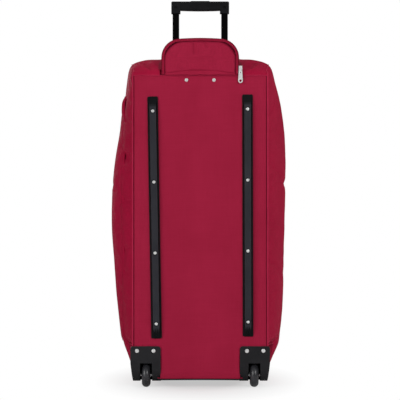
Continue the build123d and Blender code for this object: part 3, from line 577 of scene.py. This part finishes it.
def build_side(sign):
    """Stuffed side with gathered cloth along its seams."""
    left = sign < 0
    bulge = SIDE_BULGE - POCKET_LIFT if left else SIDE_BULGE
    power = LEFT_POWER if left else RIGHT_POWER

    def point(s, y):
        spot = side_at(s, y, bulge, power)
        spot.x += slump(y, spot.z)[0 if left else 1]
        edge = smooth(min(y, DEPTH - y), 4 * MM, 40 * MM) * smooth(min(s, 1 - s), 0.0, 0.05)
        fold = ripple(y, spot.z * 0.45, 0, 0.055, sign * 3.7) + 0.5 * ripple(y, spot.z, 0, 0.03, 9.1)
        spot.x += 2.4 * MM * fold * edge
        if not left:
            spot.x -= pucker(spot.y - BACK, spot.z)
        gather = ripple(0, spot.z, 0, 0.012, sign * 2.2) * smooth(y, 0, 5 * MM)
        gather *= 1 - smooth(y, 8 * MM, 34 * MM)
        turned = max(0.0, (s - 0.965) / 0.035) ** 2
        spot.x += 1.1 * MM * gather - 5 * MM * turned * smooth(y, 0, 16 * MM)
        spot.z -= 4 * MM * turned * smooth(y, 0, 10 * MM)
        return Vector((sign * spot.x, spot.y, spot.z))
    rows, columns = steps(count(HIGH - LOW)), depths(count(DEPTH))
    panel = grid("left_cloth" if left else "right_cloth", point, rows, columns)
    inner = Vector((0, HOUSING_HIGH[1] - 18 * MM, HOUSING_HIGH[2] - 8 * MM))
    drop_faces(panel, lambda c: c.y < inner.y and c.z < inner.z)
    face_outwards(panel, Vector((sign, 0, 0)))
    pinned = border(panel) + [v.index for v in panel.data.vertices
                              if v.co.z < HOUSING_HIGH[2] + 4 * MM and v.co.y < HOUSING_HIGH[1] + 4 * MM]
    inflate(panel, 3.0, 0.02, 3 * MM, pinned)
    thicken(panel, 1.5 * MM, 1)
    piece(panel, SIDE_SHADE_CLOTH, "bag", "panel_fabric", "left_side_panel" if left else "right_side_panel")


PULLS = ((0.655, 3.2 * MM), (0.628, 2.4 * MM), (0.55, 1.8 * MM), (0.30, 2.0 * MM))      # height, depth


def pucker(y, z):
    """Diagonal pulls in the right side, most of them near its upper third."""
    depth = 0.0
    for height, size in PULLS:
        off = z - height + 0.55 * (y - 0.05)
        pull = size * max(0.0, 1 - (off / (9 * MM)) ** 2) * smooth(y, 6 * MM, 30 * MM)
        depth += pull * (1 - smooth(y, 90 * MM, 150 * MM))
    return depth


def arch_inside(x, y, half, height, corner):
    """Is (x, y) under an arch standing on y = 0?"""
    if abs(x) > half or y > height:
        return False
    over_x, over_y = abs(x) - (half - corner), y - (height - corner)
    return over_x <= 0 or over_y <= 0 or over_x ** 2 + over_y ** 2 <= corner ** 2


def build_top():
    """Pillow-like end panel with the mouth over the handle."""
    def point(y, a):
        spot = top_at(a, y)
        x = abs(spot.x)
        clear = smooth(max(x - MOUTH[0], y - MOUTH[1]), 9 * MM, 30 * MM)
        sag = 9 * MM * max(0.0, 1 - ((x - 118 * MM - 0.35 * y) / (13 * MM)) ** 2) * smooth(y, 4 * MM, 20 * MM)
        lump = 3.0 * MM * ripple(spot.x, y, 0, 0.045, 5.0) * (1 - a ** 8)
        spot.z += (lump * hump(y) - sag * (1 - smooth(y, 0.06, 0.12))) * clear
        return spot
    rows, columns = depths(count(DEPTH)), steps(count(2 * BACK_HALF), -1, 1)
    panel = grid("top_cloth", point, rows, columns)
    drop_faces(panel, lambda c: arch_inside(c.x, c.y - BACK, *MOUTH))
    face_outwards(panel, Vector((0, 0, 1)))
    inflate(panel, 2.0, 0.015, 3 * MM)
    thicken(panel, 1.5 * MM, 1)
    piece(panel, SIDE_SHADE_CLOTH, "bag", "panel_fabric", "top_end_panel")


def build_bottom():
    rows, columns = steps(count(DEPTH), 0, DEPTH), steps(count(2 * BACK_HALF), -1, 1)
    panel = grid("bottom_cloth", lambda y, a: bottom_at(a, y), rows, columns)
    drop_faces(panel, lambda c: abs(c.x) > HOUSING_LOW[0] + 8 * MM and c.y < HOUSING_HIGH[1] - 14 * MM)
    face_outwards(panel, Vector((0, 0, -1)))
    thicken(panel, 1.5 * MM, 1)
    piece(panel, PANEL, "bag", "panel_fabric", "bottom_end_panel")


def build_front():
    """Front frame round the lid."""
    lid_low, lid_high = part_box("lid_panel")
    inner_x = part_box("main_zipper_lid_side")[1][0] + 5 * MM
    inner_z = (lid_low[2] - 2 * MM, lid_high[2] + 10 * MM)

    def point(z, x):
        edge = min(FRONT_HALF - abs(x), z - LOW, HIGH - z)
        puff = 2.4 * MM * smooth(edge, 0, 14 * MM)
        return Vector((x, BACK + DEPTH + puff + 0.6 * MM * ripple(x, 1, z, 0.05, 1.0), z))
    rows, columns = steps(count(HIGH - LOW), LOW, HIGH), steps(count(2 * FRONT_HALF), -FRONT_HALF, FRONT_HALF)
    panel = grid("front_cloth", point, rows, columns)
    drop_faces(panel, lambda c: abs(c.x) < inner_x and inner_z[0] < c.z < inner_z[1])
    face_outwards(panel, Vector((0, 1, 0)))
    thicken(panel, 1.5 * MM, 1)
    piece(panel, PANEL, "bag", "panel_fabric", "front_frame")


def build_lid():
    low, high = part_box("lid_panel")
    middle, tall = (low[2] + high[2]) / 2, (high[2] - low[2]) / 2

    def point(z, x):
        across, up = x / high[0], (z - middle) / tall
        crown = 11 * MM * (1 - across ** 4) * (1 - up ** 4)
        return Vector((x, low[1] + 2 * MM + crown, z))
    rows = steps(count(2 * tall), low[2], high[2])
    columns = steps(count(2 * high[0]), low[0], high[0])
    panel = grid("lid_cloth", point, rows, columns)
    face_outwards(panel, Vector((0, 1, 0)))
    inflate(panel, 2.0, 0.015, 5 * MM)
    thicken(panel, 1.5 * MM, 1)
    piece(panel, PANEL, "lid", "panel_fabric", "lid_panel")


def pocket_edge(s):
    """Depth of the pocket's back edge, which looks upright from behind."""
    stands_out = SEAM_BULGE + SIDE_BULGE * (1 - abs(2 * s - 1) ** LEFT_POWER)
    return DEPTH / 2 * (1 - sqrt(1 - POCKET_INSET / stands_out))


def pocket_at(s, t, lift):
    """A point of the pocket; t runs from its back edge to its zip."""
    y = pocket_edge(s) + t * (POCKET_FRONT - pocket_edge(s))
    spot = side_at(s, y, SIDE_BULGE - POCKET_LIFT, LEFT_POWER, lift)
    return Vector((-spot.x - slump(y, spot.z)[0], spot.y, spot.z))


def build_pocket():
    """Long pocket on the left side."""
    share = (0.1, 0.9)                               # where it starts and ends on the side's height

    def point(s, t):
        edge = min((s - share[0]) * 0.77, (share[1] - s) * 0.77, t * 0.25, (1 - t) * 0.25)
        bag = 2.2 * MM * ripple(t * 0.2, s * 0.5, 0, 0.06, 6.3) * smooth(edge, 4 * MM, 40 * MM)
        corner = 5 * MM * smooth(s, 0.80, 0.86) * (1 - smooth(s, 0.875, 0.9)) * (1 - smooth(t, 0.0, 0.3))
        crease = max(0.0, 1 - ((s - 0.60 - 0.3 * (t - 0.05)) / 0.012) ** 2) * (1 - smooth(t, 0.15, 0.3))
        rise = 1.2 * MM + (POCKET_LIFT - 1.2 * MM) * smooth(edge, 0, 12 * MM) + bag + corner
        return pocket_at(s, t, rise - 2.5 * MM * crease * smooth(t, 0, 0.05))
    panel = grid("pocket_cloth", point, steps(count(0.62), *share), steps(count(0.258)))
    face_outwards(panel, Vector((-1, 0, 0)))
    inflate(panel, 2.5, 0.02, 3 * MM)
    thicken(panel, 1.2 * MM, 1)
    piece(panel, SIDE_SHADE_CLOTH, "bag", "panel_fabric", "side_pocket")


def seam_lines():
    """The long seams, as lists of points."""
    front_y = BACK + DEPTH
    back_low = HOUSING_HIGH[2] + 1 * MM
    lines = {"top_back": [Vector((x, BACK + 0.5 * MM, HIGH)) for x in steps(60, -BACK_HALF, BACK_HALF)]}
    for sign, side in ((-1, "left"), (1, "right")):
        lines[f"{side}_back"] = [Vector((sign * BACK_HALF, BACK + 0.5 * MM, z))
                                 for z in steps(90, back_low, HIGH)]
        lines[f"{side}_front"] = [Vector((sign * FRONT_HALF, front_y, z)) for z in steps(90, LOW, HIGH)]
        top = [top_at(sign, y) for y in depths(60)]
        lines[f"{side}_top"] = top
        low = [bottom_at(sign, y) for y in steps(50, HOUSING_HIGH[1] - BACK + 2 * MM, DEPTH)]
        lines[f"{side}_bottom"] = low
    lines["top_front"] = [Vector((x, front_y, HIGH)) for x in steps(60, -FRONT_HALF, FRONT_HALF)]
    lines["bottom_front"] = [Vector((x, front_y, LOW)) for x in steps(60, -FRONT_HALF, FRONT_HALF)]
    return lines


def build_piping():
    """Corded piping with the slight wander of sewn cloth."""
    first = True
    for name, points in seam_lines().items():
        wandered = []
        for p in points:
            drift = Vector([ripple(p.x, p.y, p.z, 0.05, k) for k in (1.3, 4.1, 8.7)]) * 0.5 * MM
            wandered.append(p + drift)
        radius = 1.3 * MM if "top" in name else PIPE_R
        obj = cord(f"piping_{name}", wandered, radius)
        piece(obj, PIPING_HIGHLIGHT_CLOTH, "bag", "trim_fabric", *(["edge_piping"] if first else []))
        first = False
    for sign, side in ((-1, "left"), (1, "right")):
        # Dark cords beside the back seams: painted shadow of the gap next to the piping.
        sewn = [Vector((sign * (BACK_HALF - 3.0 * MM), BACK + 1.3 * MM, z))
                for z in steps(60, HOUSING_HIGH[2] + 1 * MM, HIGH)]
        piece(cord(f"seam_shadow_{side}", sewn, 0.8 * MM), SEAM_SHADOW_CLOTH, "bag", "trim_fabric")


def build_zips():
    """Coils of the main and pocket zips, and the thread rows beside them."""
    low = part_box("main_zipper_frame_side")[0][2] + 26 * MM
    chain, face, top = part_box("main_zipper_lid_side")[1]
    front = Vector((0, 1, 0))
    loop = [Vector((-chain, face, z)) for z in steps(60, low, top)]
    loop += [Vector((x, face, top)) for x in steps(30, -chain, chain)[1:]]
    loop += [Vector((chain, face, z)) for z in steps(60, top, low)[1:]]
    piece(teeth("main_teeth_bag", loop, front, -1.5 * MM), TAPE, "bag", "zip_tape")
    piece(teeth("main_teeth_lid", loop, front, 1.5 * MM), TAPE, "lid", "zip_tape")
    lid_low, lid_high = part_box("lid_panel")
    inset = 5 * MM
    hem = [Vector((x, lid_low[1] + 3.0 * MM, z)) for x, z in (
        (-lid_high[0] + inset, lid_low[2] + inset), (-lid_high[0] + inset, lid_high[2] - inset),
        (lid_high[0] - inset, lid_high[2] - inset), (lid_high[0] - inset, lid_low[2] + inset),
        (-lid_high[0] + inset, lid_low[2] + inset))]
    piece(stitches("lid_stitches", [hem], lambda p: front), THREAD, "lid", "trim_fabric")
    outward = Vector((-1, 0.45, 0)).normalized()
    t = 1 + 6 * MM / (POCKET_FRONT - pocket_edge(0.5))
    pocket = [pocket_at(s, t, 1.4 * MM) for s in steps(120, 0.15, 0.82)]
    piece(teeth("pocket_teeth", pocket, outward, 0), TAPE, "bag", "zip_tape")
    proud = POCKET_LIFT + 0.9 * MM
    rows = [[pocket_at(s, t, proud) for s in steps(120, 0.11, 0.89)] for t in (0.02, 0.98)]
    rows += [[pocket_at(s, t, proud) for t in steps(60, 0.02, 0.98)] for s in (0.108, 0.892)]
    piece(stitches("pocket_stitches", rows, lambda p: Vector((-1, 0, 0))), THREAD, "bag", "trim_fabric")


def build_bottom_cord():
    """Black cord under the bottom edge of the back panel, between the wheel housings."""
    reach = HOUSING_LOW[0] + 6 * MM
    line = [Vector((x, BACK + 2.5 * MM, LOW - 2.6 * MM - 0.8 * MM * (x / reach) ** 2))
            for x in steps(40, -reach, reach)]
    piece(cord("bottom_cord", line, 1.9 * MM), BOARD, "bag", "board_plastic")


# ---------------------------------------------------------------- flap over the handle
def arch_line(half, height, corner):
    """Points up one side of an arch, over its top and down the other, as (x, z) from its foot."""
    line = [(-half, z) for z in steps(20, 0, height - corner)]
    turns = steps(14, 0, pi / 2)[1:]
    line += [(-half + corner - corner * cos(t), height - corner + corner * sin(t)) for t in turns]
    line += [(x, height) for x in steps(36, -half + corner, half - corner)[1:]]
    line += [(half - corner + corner * sin(t), height - corner + corner * cos(t)) for t in turns]
    return line + [(half, z) for z in steps(20, height - corner, 0)[1:]]


def flap_rim(half, height, inset):
    """The flap's outline as (x, z) from its foot, drawn in by inset."""
    rise = 6 * MM
    line = arch_line(half - inset, height - inset, 46 * MM - inset)
    return [(x, z - rise * (x / half) ** 2 * smooth(z, height * 0.45, height)) for x, z in line]


def build_flap():
    """Padded flap with a flat zip band round its rim and a soft fold along its foot."""
    low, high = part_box("handle_flap")
    foot = HIGH + 1 * MM
    half, height = high[0] + 0.5 * MM, high[2] - foot + 0.5 * MM
    rim = flap_rim(half, height, 0)
    outer = (low[1] + high[1]) / 2 - 1.5 * MM
    band = 1.5 * MM

    def point(ring, i):
        x, z = rim[i][0] * ring, rim[i][1] * ring
        inside = min((1 - ring) * Vector(rim[i]).length, half - abs(x))
        fold = (2 + 8 * cos(pi * x / half / 2)) * MM + 1.5 * MM * ripple(x, 0, 0, 0.04, 1.1)
        raised = smooth(inside, band, band + 5 * MM) * smooth(z, fold, fold + 4 * MM)
        seam = max(0.0, 1 - (inside / (2 * MM)) ** 2)
        crease = max(0.0, 1 - ((x + 13 * MM) / (5.5 * MM)) ** 2) * smooth(z, 46 * MM, 58 * MM)
        slanted = (x - 15 * MM + 0.3 * (z - 80 * MM)) / (4 * MM)
        crease += 0.8 * max(0.0, 1 - slanted ** 2) * smooth(z, 64 * MM, 74 * MM)
        crease *= 1 - smooth(z, 80 * MM, 88 * MM)
        lines = max(0.0, 1 - ((z - 42 * MM - 2 * MM * ripple(x, 0, 0, 0.05, 2.0)) / (3.5 * MM)) ** 2)
        lump = 1.3 * MM * ripple(x, 0.3, z, 0.032, 3.0) * raised
        out = 5.2 * MM * raised - 1.6 * MM * seam - 2.8 * MM * crease * raised
        out = out - 0.9 * MM * lines * raised + lump
        return Vector((x, outer - out, foot + z))
    cover = grid("flap_cloth", point, steps(50, 0.02, 1.0), list(range(len(rim))))
    face_outwards(cover, Vector((0, -1, 0)))
    inflate(cover, 1.5, 0.01, 1.5 * MM)
    thicken(cover, 3.5 * MM, 1)
    piece(cover, PANEL, "flap", "panel_fabric", "handle_flap")
    # Dark cord along the flap's rim: painted shadow of the seam gap there.
    groove = [Vector((x, outer - 1.1 * MM, foot + z)) for x, z in flap_rim(half, height, 0.4 * MM)]
    piece(cord("flap_seam_shadow", groove, 0.9 * MM), SEAM_SHADOW_CLOTH, "flap", "trim_fabric")
    sewn = [Vector((x, low[1] - 1.0 * MM, foot + z)) for x, z in flap_rim(half, height, -2.6 * MM)]
    piece(stitches("flap_stitches", [sewn], lambda p: Vector((0, -1, 0))), THREAD, "flap", "trim_fabric")
    coil = [Vector((x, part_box("flap_zipper_flap_side")[1][1] - 1.4 * MM, foot + z))
            for x, z in flap_rim(half, height, -6.6 * MM)]
    piece(teeth("flap_teeth", coil, Vector((0, -1, 0)), 0), TAPE, "flap", "zip_tape")
    build_hinge_cloth(half, foot, outer)


def build_hinge_cloth(half, flap_foot, outer):
    """Strip of cloth that joins the flap to the top edge of the back panel."""
    def point(t, x):
        z = HIGH - 0.5 * MM + t * (flap_foot + 8 * MM - HIGH)
        y = BACK + 0.5 * MM + (outer + 1.2 * MM - BACK) * smooth(t, 0.0, 0.7)
        return Vector((x, y - 0.6 * MM * ripple(x, 0, z, 0.03, 4.4) * t, z))
    strip = grid("hinge_cloth", point, steps(9), steps(40, -half + 1 * MM, half - 1 * MM))
    face_outwards(strip, Vector((0, -1, 0)))
    thicken(strip, 1.2 * MM, 1)
    for modifier in list(strip.modifiers):
        bake(strip, modifier.name)
    strip.data.materials.clear()
    strip.data.materials.append(PANEL)
    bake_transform(strip)


def bake(obj, name):
    """Applies a modifier to the mesh."""
    bpy.context.view_layer.objects.active = obj
    with bpy.context.temp_override(object=obj, active_object=obj):
        bpy.ops.object.modifier_apply(modifier=name)


# ---------------------------------------------------------------- stage
def area_light(name, place, target, size, power, colour=(1, 1, 1)):
    data = bpy.data.lights.new(name, "AREA")
    data.shape = "DISK"
    data.size = size
    data.energy = power
    data.color = colour
    obj = new_object(name, data)
    obj.location = place
    obj.rotation_euler = (Vector(target) - Vector(place)).to_track_quat("-Z", "Y").to_euler()


FLOOR_GLOW = 0.52        # share of the floor near the bag that shines by itself, so shadows stay pale


def build_stage():
    """Pale floor that fades into a white surround, soft lights, and the camera."""
    floor = grid("floor", lambda a, b: Vector((a, b, 0)), (-9, 9), (-9, 9))
    m = Nodes("floor_paper")
    paper = m.ramp(m.noise(30, 2), 0.0, 1.0, (0.78, 0.78, 0.78, 1), (0.8, 0.8, 0.8, 1))
    m.set(Base_Color=paper, Roughness=0.7)
    squeezed = m.add("ShaderNodeVectorMath", operation="MULTIPLY")
    squeezed.inputs[1].default_value = (1, 0.55, 1)
    m.link(m.place, squeezed.inputs[0])
    reach = m.add("ShaderNodeVectorMath", operation="LENGTH")
    m.link(squeezed.outputs[0], reach.inputs[0])
    glow = m.add("ShaderNodeEmission")
    seen = m.add("ShaderNodeLightPath").outputs["Is Camera Ray"]
    share = m.ramp(reach.outputs["Value"], 0.10, 0.28, FLOOR_GLOW, 1.0)
    blend = m.add("ShaderNodeMixShader")
    m.link(m.math("MULTIPLY", share, seen), blend.inputs[0])
    m.link(m.shader.outputs[0], blend.inputs[1])
    m.link(glow.outputs[0], blend.inputs[2])
    m.link(blend.outputs[0], m.tree.nodes["Material Output"].inputs["Surface"])
    floor.data.materials.append(m.material)

    world = bpy.data.worlds.new("surround")
    bpy.context.scene.world = world
    world.use_nodes = True
    tree = world.node_tree
    seen, lit = tree.nodes["Background"], tree.nodes.new("ShaderNodeBackground")
    seen.inputs["Color"].default_value = (1, 1, 1, 1)
    seen.inputs["Strength"].default_value = 1.0
    lit.inputs["Color"].default_value = (1, 1, 1, 1)
    lit.inputs["Strength"].default_value = 0.12
    path, blend = tree.nodes.new("ShaderNodeLightPath"), tree.nodes.new("ShaderNodeMixShader")
    tree.links.new(path.outputs["Is Camera Ray"], blend.inputs[0])
    tree.links.new(lit.outputs[0], blend.inputs[1])
    tree.links.new(seen.outputs[0], blend.inputs[2])
    tree.links.new(blend.outputs[0], tree.nodes["World Output"].inputs["Surface"])

    middle = (0, 0, 0.45)
    area_light("key", (1.5, -2.9, 1.6), middle, 1.6, 45)
    area_light("fill", (-2.1, -2.5, 1.2), middle, 2.0, 55)
    area_light("rim", (2.5, 0.5, 0.9), middle, 0.9, 22)
    area_light("top", (0, 0.2, 2.7), middle, 1.6, 18)
    area_light("behind", (-1.2, 3.0, 1.5), middle, 1.8, 26)

    camera = new_object("camera", bpy.data.cameras.new("camera"))
    distance, eye, field = 4.0, 0.479, 1.02
    camera.location = (-0.0005, BACK - distance, eye)
    camera.rotation_euler = (radians(90), 0, 0)
    camera.data.angle = 2 * atan(field / 2 / distance)
    bpy.context.scene.camera = camera
    bpy.context.scene.view_settings.view_transform = "Standard"


dress_cad_nodes()
build_back()
build_side(-1)
build_side(1)
build_top()
build_bottom()
build_front()
build_lid()
build_pocket()
build_piping()
build_zips()
build_bottom_cord()
build_flap()
build_stage()
